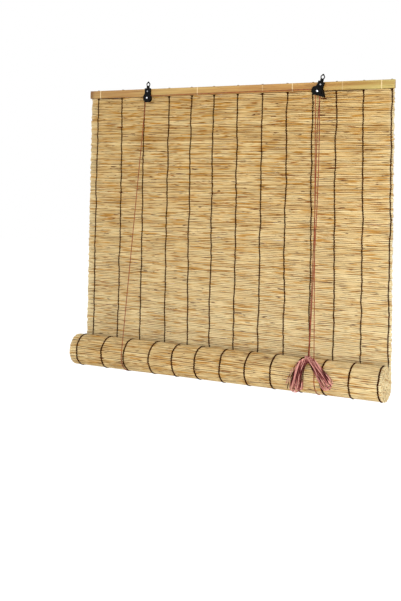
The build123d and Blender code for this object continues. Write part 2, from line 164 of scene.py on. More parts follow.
def ramp(tree, factor, *stops):
    """A colour ramp with these places and colours."""
    made = add(tree, "ShaderNodeValToRGB", {"Fac": factor})
    stack = made.color_ramp.elements
    while len(stack) < len(stops):
        stack.new(0.5)
    for element, (place, color) in zip(stack, stops):
        element.position = place
        element.color = color
    return made.outputs["Color"]


def mix(tree, factor, first, second, blend="MIX"):
    """Two colours mixed."""
    # A mix of colours reads sockets 0, 6 and 7, and answers on output 2.
    made = add(tree, "ShaderNodeMix", {0: factor, 6: first, 7: second},
               data_type="RGBA", blend_type=blend)
    return made.outputs[2]


def math_node(tree, operation, first, second=0.0, third=0.0):
    """One sum or comparison of numbers."""
    settings = {0: first, 1: second, 2: third}
    return add(tree, "ShaderNodeMath", settings, operation=operation).outputs[0]


def even(scale):
    """The same scale along all three axes."""
    return (scale, scale, scale)


def grain(tree, vector, stretch, detail=2.0, roughness=0.5, offset=(0, 0, 0)):
    """Noise along a vector that is stretched first."""
    placed = add(tree, "ShaderNodeMapping", {"Vector": vector, "Scale": stretch, "Location": offset})
    settings = {"Vector": placed.outputs[0], "Scale": 1.0, "Detail": detail, "Roughness": roughness}
    return add(tree, "ShaderNodeTexNoise", settings).outputs["Fac"]


def here(tree):
    """The model's own coordinates."""
    return add(tree, "ShaderNodeTexCoord").outputs["Object"]


def carried(tree, name, output="Fac"):
    """An attribute that a mesh carries."""
    return add(tree, "ShaderNodeAttribute", attribute_name=name).outputs[output]


def paint(tree, shader, color):
    """Give a shader its colour."""
    tree.links.new(color, shader.inputs["Base Color"])


def bump(tree, shader, height, strength, distance):
    """Relief on a shader from a height."""
    settings = {"Height": height, "Strength": strength, "Distance": distance}
    tree.links.new(add(tree, "ShaderNodeBump", settings).outputs[0], shader.inputs["Normal"])


white, black = (1, 1, 1, 1), (0, 0, 0, 1)
print("helpers ready")

# %% [markdown]
# ## Reed
# Dried reed is pale straw with a waxy skin. Where a leaf wrapped the stem it keeps a golden
# patch a few centimetres long, and torn leaf sheaths leave short brown dashes. All of it
# runs along the reed, so the material reads an attribute that each reed carries: how far
# along it a point is, which reed it is, and a tone of its own. The pattern then stays on the
# reed when the mat is squeezed up. A second attribute says how much painted light a reed
# gets, which mixes it towards a paler straw.

# %% Reed finish
reed_gloss = 0.15
skin_share, fibre_share = 0.35, 0.75
reed, tree, shader = material("reed", Roughness=0.6, Specular_IOR_Level=reed_gloss)
coords = carried(tree, "reed", "Vector")
parts = add(tree, "ShaderNodeSeparateXYZ", {0: coords}).outputs
painted_light = carried(tree, "painted_light")
# Painted light: the pale straw that a reed is mixed towards where more light is painted on.
painted_light_color = linear(240, 227, 184)
body = ramp(tree, parts["Z"], (0.0, linear(190, 152, 90)), (0.3, linear(216, 184, 122)),
            (0.65, linear(236, 211, 156)), (1.0, linear(206, 168, 104)))
skin = ramp(tree, grain(tree, coords, (9, 0.3, 0)), (0.36, linear(190, 150, 90)),
            (0.60, linear(240, 218, 163)))
color = mix(tree, painted_light, mix(tree, skin_share, body, skin), painted_light_color)
marks = {  # stretch, detail, roughness, offset, where it starts and is full, colour
    "golden leaf": ((15, 1.3, 0.4), 2.5, 0.6, (0, 0, 0), 0.53, 0.63, linear(196, 145, 66)),
    "brown leaf": ((17, 1.9, 0.5), 3, 0.6, (7, 3, 1), 0.61, 0.68, linear(156, 96, 28)),
    "dash": ((30, 2.3, 0.7), 2, 0.5, (3, 8, 5), 0.655, 0.70, linear(84, 36, 2)),
}
for stretch, detail, roughness, offset, low, high, shade in marks.values():
    spots = grain(tree, coords, stretch, detail, roughness, offset)
    color = mix(tree, ramp(tree, spots, (low, black), (high, white)), color, shade)
fibre = grain(tree, coords, (12, 14, 3), 3, 0.6)
fibres = ramp(tree, fibre, (0.32, (0.66, 0.56, 0.42, 1)), (0.58, white))
color = mix(tree, fibre_share, color, mix(tree, 1.0, color, fibres, "MULTIPLY"))
print("reed marks", list(marks))

# %% [markdown]
# Where two reeds touch, a thin brown line of painted shade stands for the shadow between
# them, a few centimetres long. The second part of the attribute holds the row and the height
# on the reed, so its fraction tells how near a point is to the reed's edge. The edge loses its
# gloss, because little light gets out from between two reeds. Where more light is painted
# on, the painted shade lines are weaker.

# %% Lines between the reeds
row_step = 0.32
painted_light_veil, painted_light_line_loss = 0.35, 0.5
# The mask of the painted shade between reeds: near a reed's edge, in stretches along it.
fraction = math_node(tree, "FRACT", math_node(tree, "ADD", parts["Y"], 0.5))
height = math_node(tree, "ABSOLUTE", math_node(tree, "SUBTRACT", fraction, 0.5))
edge = ramp(tree, math_node(tree, "DIVIDE", height, row_step), (0.42, black), (0.78, white))
stretches = grain(tree, coords, (11, 0.9, 0), 2, 0.6, (2, 5, 9))
line = math_node(tree, "MULTIPLY", edge, ramp(tree, stretches, (0.47, black), (0.57, white)))
# Painted light weakens the painted shade lines, and veils the reed once more.
line = math_node(tree, "MULTIPLY", line, math_node(tree, "MULTIPLY_ADD", painted_light, -painted_light_line_loss, 1.0))
color = mix(tree, math_node(tree, "MULTIPLY", painted_light, painted_light_veil), color, painted_light_color)
# Painted shade: the dark brown line where two reeds meet.
color = mix(tree, line, color, linear(84, 36, 0))
paint(tree, shader, color)
gloss = math_node(tree, "MULTIPLY_ADD", edge, -reed_gloss, reed_gloss)
tree.links.new(gloss, shader.inputs["Specular IOR Level"])
bump(tree, shader, fibre, 0.35, 0.6 * mm)
print("made", reed.name)

# %% [markdown]
# A reed is cut off square, and the cut shows pale pith round a hollow. It gets a finish of
# its own, which reads the reed's tone and breaks it up with fine noise.

# %% Cut end finish
pith_share = 0.8
cut_reed, tree, shader = material("cut reed", Roughness=0.8, Specular_IOR_Level=0.2)
coords = carried(tree, "reed", "Vector")
tone = add(tree, "ShaderNodeSeparateXYZ", {0: coords}).outputs["Z"]
pale = ramp(tree, tone, (0.0, linear(226, 206, 162)), (0.15, linear(253, 247, 228)),
            (0.6, linear(255, 253, 242)), (1.0, linear(252, 242, 216)))
place = here(tree)
pith = ramp(tree, grain(tree, place, even(900), 3, 0.6), (0.35, (0.90, 0.90, 0.87, 1)),
            (0.6, white))
color = mix(tree, pith_share, pale, mix(tree, 1.0, pale, pith, "MULTIPLY"))
paint(tree, shader, color)
print("made", cut_reed.name)

# %% [markdown]
# ## Twine and cord
# The warps are thin dark twine, and the lift cords are a thicker rust-red one. Both are
# twisted from yarns, which the meshes show. The material only has to vary the dye along the
# cord and roughen the yarn's surface. The spare cord in the bow has light and shade painted
# into it, so its finish reads how light each place is from an attribute.

# %% Twine and cord finishes
def fuzz(tree, shader, place):
    """The fibrous surface of a yarn."""
    bump(tree, shader, grain(tree, place, even(2600), 2), 0.4, 0.2 * mm)


def twine_finish(name, dark, light, sheen=0.25):
    """A dyed yarn: two shades in soft patches, a fibrous surface and a little sheen."""
    made, tree, shader = material(name, Roughness=0.9, Specular_IOR_Level=sheen / 2,
                                  Sheen_Weight=sheen)
    place = here(tree)
    dye_and_painted_light = grain(tree, place, even(90), 3, 0.6)
    paint(tree, shader, ramp(tree, dye_and_painted_light, (0.35, dark), (0.65, light)))
    fuzz(tree, shader, place)
    return made


warp_finish = twine_finish("warp twine", linear(36, 12, 2), linear(64, 27, 6), 0.0)
lift_finish = twine_finish("lift cord", linear(104, 44, 18), linear(168, 86, 48))
pull_finish = twine_finish("pull cord", linear(94, 34, 16), linear(156, 76, 48))
print("made", [m.name for m in (warp_finish, lift_finish, pull_finish)])

# %% Finish of the bow
speckle_share = 0.2
hank_finish, tree, shader = material("hank", Roughness=0.9, Specular_IOR_Level=0.12)
dye_and_painted_light = carried(tree, "dye_and_painted_light")
place = here(tree)
speckle = math_node(tree, "MULTIPLY", grain(tree, place, even(260), 3), speckle_share)
# The attribute holds painted light and shade, which the ramp turns into the cord's colours, from shaded maroon to
# lit pink.
shades = ramp(tree, math_node(tree, "ADD", dye_and_painted_light, speckle), (0.12, linear(46, 12, 16)),
              (0.42, linear(92, 38, 38)), (0.66, linear(144, 76, 72)), (0.92, linear(216, 154, 142)))
paint(tree, shader, shades)
fuzz(tree, shader, place)
print("made", hank_finish.name)

# %% [markdown]
# ## Split bamboo
# The rail's slats are split from thick bamboo: honey-coloured, with straight fine fibres and
# a cream line across each node. The slats never move against the model's axes, so their own
# coordinates place the grain. The bold lines lie on the raised rings, and the front slat has
# a few faint ones between them. Light and shade are painted along the rail: painted shade
# darkens its rounded left end, and painted light makes it lighter and yellower to the right.

# %% Bamboo finish
front_nodes = (-0.4675, -0.1155, 0.1945, 0.4575)
faint_nodes = (-0.300, 0.100, 0.345)
back_nodes = (-0.3765, -0.0385, 0.3055)
node_half_width = 1.4 * mm
rail_reach = 0.5


def bamboo_finish(name, node_places, faint_places=()):
    """Honey bamboo with fibres along X and pale lines at its nodes."""
    made, tree, shader = material(name, Roughness=0.42, Specular_IOR_Level=0.4)
    place = here(tree)
    broad = ramp(tree, grain(tree, place, (3.2, 60, 60), 3, 0.6), (0.34, linear(162, 108, 48)),
                 (0.50, linear(188, 142, 82)), (0.68, linear(204, 170, 108)))
    fibre = grain(tree, place, (9, 900, 900), 3, 0.65)
    streaks = ramp(tree, fibre, (0.30, (0.66, 0.58, 0.48, 1)), (0.58, white))
    color = mix(tree, 0.8, broad, mix(tree, 1.0, broad, streaks, "MULTIPLY"))
    scars = grain(tree, place, (14, 420, 420), 2, 0.5, (5, 1, 2))
    scar = math_node(tree, "MULTIPLY", ramp(tree, scars, (0.64, black), (0.70, white)), 0.7)
    color = mix(tree, scar, color, linear(96, 56, 18))
    along = add(tree, "ShaderNodeSeparateXYZ", {0: place}).outputs["X"]
    share = add(tree, "ShaderNodeMapRange", {
        "Value": along, "From Min": -rail_reach, "From Max": rail_reach}).outputs[0]
    # Painted light and shade along the rail: painted shade darkens its rounded left end, and painted light makes
    # it lighter and yellower to the right.
    painted_light_along_rail = ramp(tree, share, (0.0, (0.50, 0.44, 0.36, 1)), (0.012, (0.92, 0.98, 0.94, 1)),
                    (0.45, (0.96, 0.90, 0.70, 1)), (0.75, (1, 0.98, 0.80, 1)),
                    (0.92, (1, 1.32, 1.22, 1)))
    color = mix(tree, 1.0, color, painted_light_along_rail, "MULTIPLY")
    for spots, strength in ((node_places, 0.85), (faint_places, 0.30)):
        for spot in spots:
            line = math_node(tree, "COMPARE", along, spot, node_half_width)
            line = math_node(tree, "MULTIPLY", line, strength)
            color = mix(tree, line, color, linear(232, 206, 156))
    paint(tree, shader, color)
    bump(tree, shader, fibre, 0.25, 0.4 * mm)
    return made


front_bamboo = bamboo_finish("front bamboo", front_nodes, faint_nodes)
back_bamboo = bamboo_finish("back bamboo", back_nodes)
print("made", front_bamboo.name, back_bamboo.name)

# %% [markdown]
# ## Metal
# The hooks are pressed steel under black lacquer, the washers are bright, and the pulleys
# are dull plated steel. Noise breaks up the gloss, as handling does.

# %% Metal finishes
def metal_finish(name, dark, light, metallic, smoothest, roughest, size):
    """Metal or lacquer with patches of two shades and an uneven gloss."""
    made, tree, shader = material(name, Metallic=metallic)
    place = here(tree)
    patches = grain(tree, place, even(size), 4, 0.6)
    paint(tree, shader, ramp(tree, patches, (0.35, dark), (0.7, light)))
    gloss = add(tree, "ShaderNodeMapRange", {"Value": patches, "From Min": 0.3, "From Max": 0.7,
                                             "To Min": smoothest, "To Max": roughest})
    tree.links.new(gloss.outputs[0], shader.inputs["Roughness"])
    bump(tree, shader, grain(tree, place, even(size * 6), 2), 0.15, 0.2 * mm)
    return made


metals = {
    "black lacquer": (linear(3, 3, 3), linear(10, 8, 6), 0.0, 0.30, 0.45, 260),
    "bright steel": (linear(200, 200, 204), linear(236, 236, 238), 1.0, 0.22, 0.4, 400),
    "plated steel": (linear(120, 118, 116), linear(168, 166, 162), 1.0, 0.35, 0.5, 300),
    "dull steel": (linear(128, 128, 130), linear(172, 172, 174), 1.0, 0.35, 0.5, 400),
}
lacquer, bright, plated, dull = [metal_finish(name, *row) for name, row in metals.items()]
lacquer.node_tree.nodes["Principled BSDF"].inputs["Specular IOR Level"].default_value = 0.08
print("made", list(metals))

# %% [markdown]
# The rivets were lacquered with the hooks. Rubbing has bared the middle of each head, so
# their finish is a copy of a steel that turns to lacquer past a small distance from the
# rivet's own axis.

# %% Worn rivet heads
def worn_head(name, metal, centre, bare_radius):
    """A lacquered rivet that is worn bare in the middle of its head."""
    made = metal.copy()
    made.name = name
    tree = made.node_tree
    shader = tree.nodes["Principled BSDF"]
    place = here(tree)
    flat = add(tree, "ShaderNodeVectorMath", {0: place, 1: (1, 0, 1)}, operation="MULTIPLY")
    away = add(tree, "ShaderNodeVectorMath", {0: flat.outputs[0], 1: (centre.x, 0, centre.z)},
               operation="DISTANCE")
    bare = math_node(tree, "LESS_THAN", away.outputs["Value"], bare_radius)
    color = shader.inputs["Base Color"].links[0].from_socket
    paint(tree, shader, mix(tree, bare, linear(8, 7, 6), color))
    tree.links.new(bare, shader.inputs["Metallic"])
    shader.inputs["Specular IOR Level"].default_value = 0.1
    return made


# %% Dress the solids
finishes = {"bamboo": back_bamboo, "reed": reed, "warp_twine": warp_finish, "black_steel": lacquer,
            "bright_steel": bright, "pulley_steel": plated, "lift_cord": lift_finish,
            "pull_cord": pull_finish}
for row in frame["record"]["subparts"]:
    data = nodes[row["node"]].data
    data.materials.clear()
    data.materials.append(finishes[row["material_slot"]])
own_finishes = {"front_slat": front_bamboo, "lock_roller": lacquer, "bottom_slat": cut_reed}
for side in ("left", "right"):
    for kind, metal, bare_radius in (("rail", dull, 2.5 * mm), ("axle", bright, 3.1 * mm)):
        low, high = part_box(f"{side}_{kind}_rivet")
        print(side, kind, "rivet", [round(v / mm, 1) for v in high - low])
        own_finishes[f"{side}_{kind}_rivet"] = worn_head(
            f"{side} {kind} rivet", metal, (low + high) / 2, bare_radius)
for node, finish in own_finishes.items():
    nodes[node].data.materials[0] = finish
print("dressed", len(nodes), "nodes")

# %% [markdown]
# ## Helpers for pieces
# Each new piece becomes an object at the origin, with its place in its mesh. A smooth piece
# keeps sharp edges where its faces meet at more than forty degrees.

# %% Piece helpers
def finished(name, bm):
    """A mesh from a bmesh, which is freed."""
    mesh = bpy.data.meshes.new(name)
    bm.to_mesh(mesh)
    bm.free()
    return mesh


def smooth_noise(*place):
    """Soft noise, from about -1 to 1."""
    return noise.noise(Vector(place))


def piece(mesh, finish, slot, *replaced, body="head_rail", second=None):
    """Link a finished mesh as a piece that rides on a body and stands for some nodes."""
    mesh.polygons.foreach_set("use_smooth", [True] * len(mesh.polygons))
    mesh.set_sharp_from_angle(angle=math.radians(40))
    mesh.materials.clear()
    mesh.materials.append(finish)
    if second:
        mesh.materials.append(second)
    made = placed(mesh.name, mesh)
    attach(made, body)
    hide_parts(*replaced)
    print(made.name, "faces", len(mesh.polygons))
    return made


def shorten(made):
    """Give a hanging piece a mesh of its own."""
    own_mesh(made)


def curve_mesh(name, lines, kind="POLY", **settings):
    """A mesh made from a curve through lines of points."""
    data = bpy.data.curves.new(name, "CURVE")
    data.dimensions = "3D"
    for key, value in settings.items():
        setattr(data, key, value)
    for line in lines:
        spline = data.splines.new(kind)
        spline.points.add(len(line) - 1)
        spline.points.foreach_set("co", [c for point in line for c in (*point, 1.0)])
        if kind == "NURBS":
            spline.order_u = 3
            spline.use_endpoint_u = True
    drawn = bpy.data.objects.new(name, data)
    mesh = bpy.data.meshes.new_from_object(drawn)
    bpy.data.objects.remove(drawn)
    bpy.data.curves.remove(data)
    return mesh


def tubes(name, lines, radius, sides=6):
    """A mesh of round tubes along lines of points."""
    return curve_mesh(name, lines, bevel_depth=radius, bevel_resolution=(sides - 4) // 2,
                      use_fill_caps=True)


def along_nurbs(points, steps=12):
    """Points along the smooth curve that a list of control points gives."""
    mesh = curve_mesh("route", [points], "NURBS", resolution_u=steps)
    line = [v.co.copy() for v in mesh.vertices]
    bpy.data.meshes.remove(mesh)
    return line


def spaced(line, step):
    """The same line with its points about a step apart."""
    lengths = [0.0]
    for a, b in zip(line, line[1:]):
        lengths.append(lengths[-1] + (b - a).length)
    count = max(2, math.ceil(lengths[-1] / step))
    made, i = [], 0
    for n in range(count + 1):
        target = lengths[-1] * n / count
        while i < len(lengths) - 2 and lengths[i + 1] < target:
            i += 1
        share = (target - lengths[i]) / max(lengths[i + 1] - lengths[i], 1e-12)
        made.append(line[i].lerp(line[i + 1], min(share, 1.0)))
    return made


cord_thickness = 2.2 * mm
cord_radius = cord_thickness / 2
cord_pitch = 6.5 * mm
ply_radius = cord_thickness / 4
ply_inset, ply_swell = 0.85, 1.55


def twisted(line, radius, plies=2, per_turn=6):
    """The centrelines of a cord's plies, wound round its own line."""
    fine = spaced(line, cord_pitch / per_turn)
    side = (fine[1] - fine[0]).orthogonal().normalized()
    found = [[] for _ in range(plies)]
    for i, point in enumerate(fine):
        ahead = fine[min(i + 1, len(fine) - 1)] - fine[max(i - 1, 0)]
        ahead.normalize()
        side = (side - ahead * side.dot(ahead)).normalized()
        other = ahead.cross(side)
        for ply in range(plies):
            angle = 2 * math.pi * (i / per_turn + ply / plies)
            found[ply].append(point + radius * (math.cos(angle) * side + math.sin(angle) * other))
    return found


def cord_mesh(name, line):
    """A cord of two plies that press together along its middle."""
    return tubes(name, twisted(line, ply_radius * ply_inset), ply_radius * ply_swell)


print("piece helpers ready")

# %% [markdown]
# ## Held cords
# Each lift cord is tied behind the rail, runs down the back of the mat, passes under the
# roll and comes up the front to its pulley. The left one then crosses to the lock along the
# rail. These stretches are pulled tight, so each is a straight line or an arc between
# places that the solids give, and two plies are wound round it.

# %% Places on the cords' way
sling_clearance = 0.4 * mm
sling_radius = roll_radius + sling_clearance + cord_radius
pulley_gap = 3.0 * mm


def centre_of(node):
    """The middle of a node's box."""
    low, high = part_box(node)
    return (low + high) / 2


def cord_ends(node, leans_right):
    """The lower and the upper end of a straight cord's middle line."""
    low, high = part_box(node)
    left, right = low.x + cord_radius, high.x - cord_radius
    first, last = (left, right) if leans_right else (right, left)
    return Vector((first, low.y + cord_radius, low.z)), Vector((last, high.y - cord_radius, high.z))


def on_roll(radius, turn):
    """A place round the roll, from its back, down and forwards, and the way out from it."""
    angle = 2 * math.pi * turn
    out = Vector((0, math.cos(angle), -math.sin(angle)))
    return Vector((0, roll_axis.y, roll_axis.z)) + radius * out, out


def over_pulley(axle, y, radius, start, stop, steps=12):
    """An arc over a pulley, between two angles in degrees from its right side."""
    angles = [math.radians(start + (stop - start) * i / steps) for i in range(steps + 1)]
    return [Vector((axle.x + radius * math.cos(a), y, axle.z + radius * math.sin(a))) for a in angles]


left_axle, right_axle = centre_of("left_pulley"), centre_of("right_pulley")
wrap_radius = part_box("lock_cord")[1].x - cord_radius - right_axle.x
exit_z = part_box("lock_cord")[0].z
cross_y, lock_y = right_axle.y + pulley_gap / 2, right_axle.y - pulley_gap / 2
print("wrap radius", round(wrap_radius, 5), "exit height", round(exit_z, 5))

# %% Draw the held cords
sling_steps = 60


def held_run(side, way, leans_right):
    """A straight stretch of a lift cord, and its foot."""
    low, high = cord_ends(f"{side}_{way}_cord", leans_right)
    mesh = cord_mesh(f"{side}_{way}_run", [low, high])
    made = piece(mesh, lift_finish, "lift_cord", f"{side}_{way}_cord")
    shorten(made)
    return low


for side, leans_right in (("left", True), ("right", False)):
    foot = held_run(side, "front", leans_right)
    turn = math.atan2(roll_axis.z - foot.z, foot.y - roll_axis.y) / (2 * math.pi) % 1
    arc = [on_roll(sling_radius, turn * i / sling_steps)[0] + Vector((foot.x, 0, 0))
           for i in range(sling_steps + 1)]
    mesh = cord_mesh(f"{side}_under_roll", arc)
    piece(mesh, lift_finish, "lift_cord", f"{side}_sling", body="roll_carriage")
    held_run(side, "rear", leans_right)

across = over_pulley(left_axle, left_axle.y, wrap_radius, 180, 90)
across += over_pulley(right_axle, cross_y, wrap_radius, 90, 0)
locked = over_pulley(right_axle, lock_y, wrap_radius, 180, 0, 24)
for name, node, line in (("cross_run", "cross_cord", across), ("lock_run", "lock_cord", locked)):
    line.append(Vector((line[-1].x, line[-1].y, exit_z)))
    piece(cord_mesh(name, line), lift_finish, "lift_cord", node)

# %% [markdown]
# ## Knots behind the rail
# A lift cord ends in a loop round the tail of the rail rivet, closed by an overhand knot. An
# overhand knot follows the curve of a trefoil, which two sines and two cosines draw.

# %% Tie the rail knots
knot_drop, knot_out, knot_size = 6.4 * mm, 0.7 * mm, 0.62 * mm
knot_swell = 1.3
loop_gap = 0.2 * mm
loop_angles = [2 * math.pi * i / 36 for i in range(37)]


def overhand(centre, size, flip=1):
    """The curve of an overhand knot, in the plane of the mat."""
    return [centre + size * Vector((flip * (math.sin(a) + 2 * math.sin(2 * a)), -math.sin(3 * a),
                                    math.cos(a) - 2 * math.cos(2 * a)))
            for a in [2 * math.pi * i / 48 for i in range(49)]]


for side in ("left", "right"):
    tail = centre_of(f"{side}_rail_rivet")
    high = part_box(f"{side}_cord_knot")[1]
    loop_radius = high.z - tail.z - cord_radius
    loop_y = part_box("rail_washers")[1].y + loop_gap + cord_radius
    ring = [Vector((tail.x + loop_radius * math.sin(a), loop_y, tail.z + loop_radius * math.cos(a)))
            for a in loop_angles]
    knot = overhand(Vector((tail.x, loop_y + knot_out, tail.z - knot_drop)), knot_size)
    plies = twisted(ring, ply_radius) + twisted(knot, ply_radius)
    mesh = tubes(f"{side}_rail_knot", plies, ply_radius * knot_swell)
    piece(mesh, lift_finish, "lift_cord", f"{side}_cord_knot")

# %% [markdown]
# ## Pull cords
# Below the lock both cords hang free, side by side, to the bow that their spare length is
# tied in. They carry little, so they sway a few millimetres on the way down. Each follows a
# smooth curve through points that are listed, and is drawn as two plies.

# %% Hang the pull cords
left_pull_route = [
    (0.28063, -0.0015, -0.05509), (0.2780, -0.0015, -0.080), (0.2755, -0.0042, -0.132),
    (0.2755, -0.0080, -0.186), (0.2765, -0.0126, -0.242), (0.2780, -0.0178, -0.298),
    (0.2798, -0.0234, -0.354), (0.2810, -0.0293, -0.410), (0.2820, -0.0354, -0.466),
    (0.2828, -0.0416, -0.522), (0.2834, -0.0477, -0.578), (0.2838, -0.0534, -0.634),
    (0.2840, -0.0584, -0.688), (0.2840, -0.0622, -0.734), (0.2838, -0.0646, -0.76945),
]
right_pull_route = [
    (0.28063, -0.0045, -0.05509), (0.2810, -0.0045, -0.084), (0.2824, -0.0066, -0.134),
    (0.2836, -0.0098, -0.188), (0.2846, -0.0140, -0.244), (0.2854, -0.0189, -0.300),
    (0.2860, -0.0244, -0.356), (0.2864, -0.0303, -0.412), (0.2868, -0.0365, -0.468),
    (0.2870, -0.0428, -0.524), (0.2871, -0.0490, -0.580), (0.2871, -0.0549, -0.636),
    (0.2870, -0.0602, -0.690), (0.2868, -0.0643, -0.736), (0.2866, -0.0668, -0.76945),
]
for side, route in (("left", left_pull_route), ("right", right_pull_route)):
    line = along_nurbs(route)
    mesh = cord_mesh(f"{side}_pull_run", line)
    made = piece(mesh, pull_finish, "pull_cord", f"{side}_pull_cord")
    shorten(made)

# %% [markdown]
# ## The bow
# The spare cord, over two metres of each, is laid up in loops and tied round its middle, so
# that the loops fall to both sides as a bow. The left loops hang apart and the right ones
# lie closer. Each cord is one curve that runs through a loop on the left, through the knot
# and through a loop on the right, again and again. A loop has its own reach, width, layer
# and lean, so no two lie alike.

# %% Lay out the bow
left_lobe = (
    along_nurbs([(0.276, -0.069, -0.7745), (0.268, -0.074, -0.779), (0.259, -0.082, -0.792),
                 (0.252, -0.088, -0.810), (0.246, -0.091, -0.830), (0.239, -0.091, -0.852)]),
    along_nurbs([(0.278, -0.071, -0.789), (0.277, -0.079, -0.796), (0.276, -0.084, -0.806),
                 (0.277, -0.090, -0.820), (0.278, -0.092, -0.836), (0.279, -0.091, -0.853)]),
)
right_lobe = (
    along_nurbs([(0.289, -0.067, -0.771), (0.298, -0.069, -0.769), (0.308, -0.075, -0.7745),
                 (0.322, -0.083, -0.7865), (0.338, -0.089, -0.7985), (0.353, -0.093, -0.811),
                 (0.364, -0.095, -0.824), (0.367, -0.095, -0.837)]),
    along_nurbs([(0.288, -0.073, -0.789), (0.297, -0.079, -0.794), (0.304, -0.083, -0.801),
                 (0.311, -0.086, -0.808), (0.318, -0.089, -0.817), (0.324, -0.091, -0.827),
                 (0.330, -0.094, -0.838), (0.334, -0.094, -0.845)]),
)
bow_knot = Vector((0.2835, -0.0680, -0.7785))
leg_shares = (0.10, 0.30, 0.50, 0.70, 0.88)
across_jitter, layer_jitter = 0.05, 0.5  # share of the lobe's width, millimetres
shoulder, tip, tip_span = 0.45, 0.8, 0.1


def on_line(line, share):
    """A place some way along a line of points, or a little past its end."""
    place = share * (len(line) - 1)
    i = max(0, min(int(place), len(line) - 2))
    return line[i].lerp(line[i + 1], place - i)


def in_lobe(lobe, share, across, outward):
    """A place some way down a lobe, across it from edge to edge and out from the roll."""
    place = on_line(lobe[0], share).lerp(on_line(lobe[1], share), across)
    away = Vector((0, place.y - roll_axis.y, place.z - roll_axis.z)).normalized()
    return place + outward * away


def leg(lobe, picks, shares, reach, across, layer):
    """Places along one leg of a loop, each a little off its line."""
    return [in_lobe(lobe, share * reach, across + picks.uniform(-across_jitter, across_jitter),
                    layer + picks.uniform(-layer_jitter, layer_jitter) * mm)
            for share in shares]


def loop_points(lobe, picks, reach, near, far, layer):
    """Places down one leg of a loop, round its tip and up the other leg."""
    points = leg(lobe, picks, leg_shares, reach, near, layer)
    first, last = in_lobe(lobe, reach, near, layer), in_lobe(lobe, reach, far, layer)
    middle = first.lerp(last, 0.5)
    ahead = (middle - in_lobe(lobe, reach - tip_span, (near + far) / 2, layer)).normalized()
    half = (last - first).length / 2
    points += [first + shoulder * half * ahead, middle + tip * half * ahead,
               last + shoulder * half * ahead]
    return points + leg(lobe, picks, reversed(leg_shares), reach, far, layer)


print("bow knot at", [round(v, 4) for v in bow_knot])

# %% Plan the spare cords' routes
bow_rounds, layer_step = 6, 1.7 * mm
least_reach = ((left_lobe, 0.80), (right_lobe, 0.84))
near_edges, loop_widths, full_width = (0.0, 0.5), (0.28, 0.62), 0.6
first_drop = Vector((0, 0, -4)) * mm
knot_spread = ((-2, 2), (-5, 4), (-8, 8))  # millimetres
tails = (
    ((0.266, -0.076, -0.779), (0.256, -0.083, -0.790), (0.245, -0.090, -0.810),
     (0.236, -0.093, -0.830), (0.231, -0.092, -0.844)),
    ((0.265, -0.080, -0.784), (0.256, -0.088, -0.800), (0.247, -0.094, -0.822),
     (0.238, -0.095, -0.842), (0.235, -0.093, -0.858)),
)


def bow_route(start, seed, first_layer):
    """One cord's route through the bow, from the end of its hanging stretch."""
    picks = random.Random(seed)
    points = [Vector(start), Vector(start) + first_drop]
    for turn in range(bow_rounds):
        layer = (first_layer + 2 * turn - bow_rounds) * layer_step / 2
        for lobe, least in least_reach:
            near = picks.uniform(*near_edges)
            far = min(1.0, near + picks.uniform(*loop_widths))
            reach = least + (1 - least) * (far - near) / full_width
            if picks.random() < 0.5:
                near, far = far, near
            points += loop_points(lobe, picks, reach, near, far, layer)
            through = [picks.uniform(*spread) for spread in knot_spread]
            points.append(bow_knot + Vector(through) * mm)
    return points + [Vector(place) for place in tails[seed - 1]]


print("rounds", bow_rounds)

# %% [markdown]
# Light and shade are painted into the spare cord: streaks that run down the lobes stand for
# lit strands and the shade between them. Painted shade deepens towards the roll, so the cord
# is lighter the further out it lies, and the right lobe is a little lighter than the left one.

# %% Wind the spare cords
left_way, right_way = Vector((-0.18, 0, -0.98)), Vector((0.68, 0, -0.73))
across_scale, along_scale = 400, 24
painted_streak_depth, outer_painted_light, right_lightness = 1.05, 0.14, 0.07
strand_shade, tie_shade = 0.35, 0.28
bow_foot, bow_depth = 5 * mm, 7 * mm


def paint_bow_light(mesh, shade):
    """Write how much light and shade is painted on each place of the bow's cord."""
    dye_and_painted_light = mesh.attributes.new("dye_and_painted_light", "FLOAT", "POINT")
    for v, row in zip(mesh.vertices, dye_and_painted_light.data):
        place = v.co - bow_knot
        way = left_way if place.x < 0 else right_way
        across = place.x * way.z - place.z * way.x
        # Painted light and shade: streaks for lit strands and the shade between them, and more shade nearer the
        # roll.
        painted_strand_light = smooth_noise(across * across_scale, place.dot(way) * along_scale, way.x * 9)
        out = Vector((0, v.co.y - roll_axis.y, v.co.z - roll_axis.z)).length - roll_radius
        row.value = shade + painted_streak_depth * painted_strand_light + outer_painted_light * (out - bow_foot) / bow_depth
        if place.x > 0:
            row.value += right_lightness


for seed, route in ((1, left_pull_route), (2, right_pull_route)):
    line = along_nurbs(bow_route(route[-1], seed, seed - 1), 8)
    wound = sum((b - a).length for a, b in zip(line, line[1:]))
    mesh = cord_mesh(f"bow_strand_{seed}", line)
    paint_bow_light(mesh, strand_shade)
    made = piece(mesh, hank_finish, "pull_cord", "cord_hank", body="roll_carriage")
    print("strand", seed, "length", round(wound, 3))

# %% Tie the bow
tie_turns, tie_steps = 4.5, 24
tie_pitch, tie_depth, tie_height = 3.8, 7.6, 9.6  # millimetres
tie = []
for i in range(int(tie_turns * tie_steps) + 1):
    angle = 2 * math.pi * i / tie_steps
    aside = (i / tie_steps - tie_turns / 2) * tie_pitch
    reach = Vector((aside, tie_depth * math.sin(angle), tie_height * math.cos(angle)))
    tie.append(bow_knot + reach * mm)
mesh = cord_mesh("bow_tie", tie)
# The tie is painted darker, as painted shade where it lies in the knot's shade.
paint_bow_light(mesh, tie_shade)
bow_tie = piece(mesh, hank_finish, "pull_cord", "cord_hank", body="roll_carriage")

# %% [markdown]
# ## Reeds
# One reed is a rod with hollow cut ends. It starts as a cone operator's cylinder along X,
# cut into short lengths so that it can taper, bend and pinch. Each reed of the mat is that
# rod again, with its own thickness, tone and ends.

# %% Make the rod that every reed copies
reed_sides = 8
bore_share, bore_depth = 0.7, 0.0015  # shares of the radius and of the length
long_cuts = 59


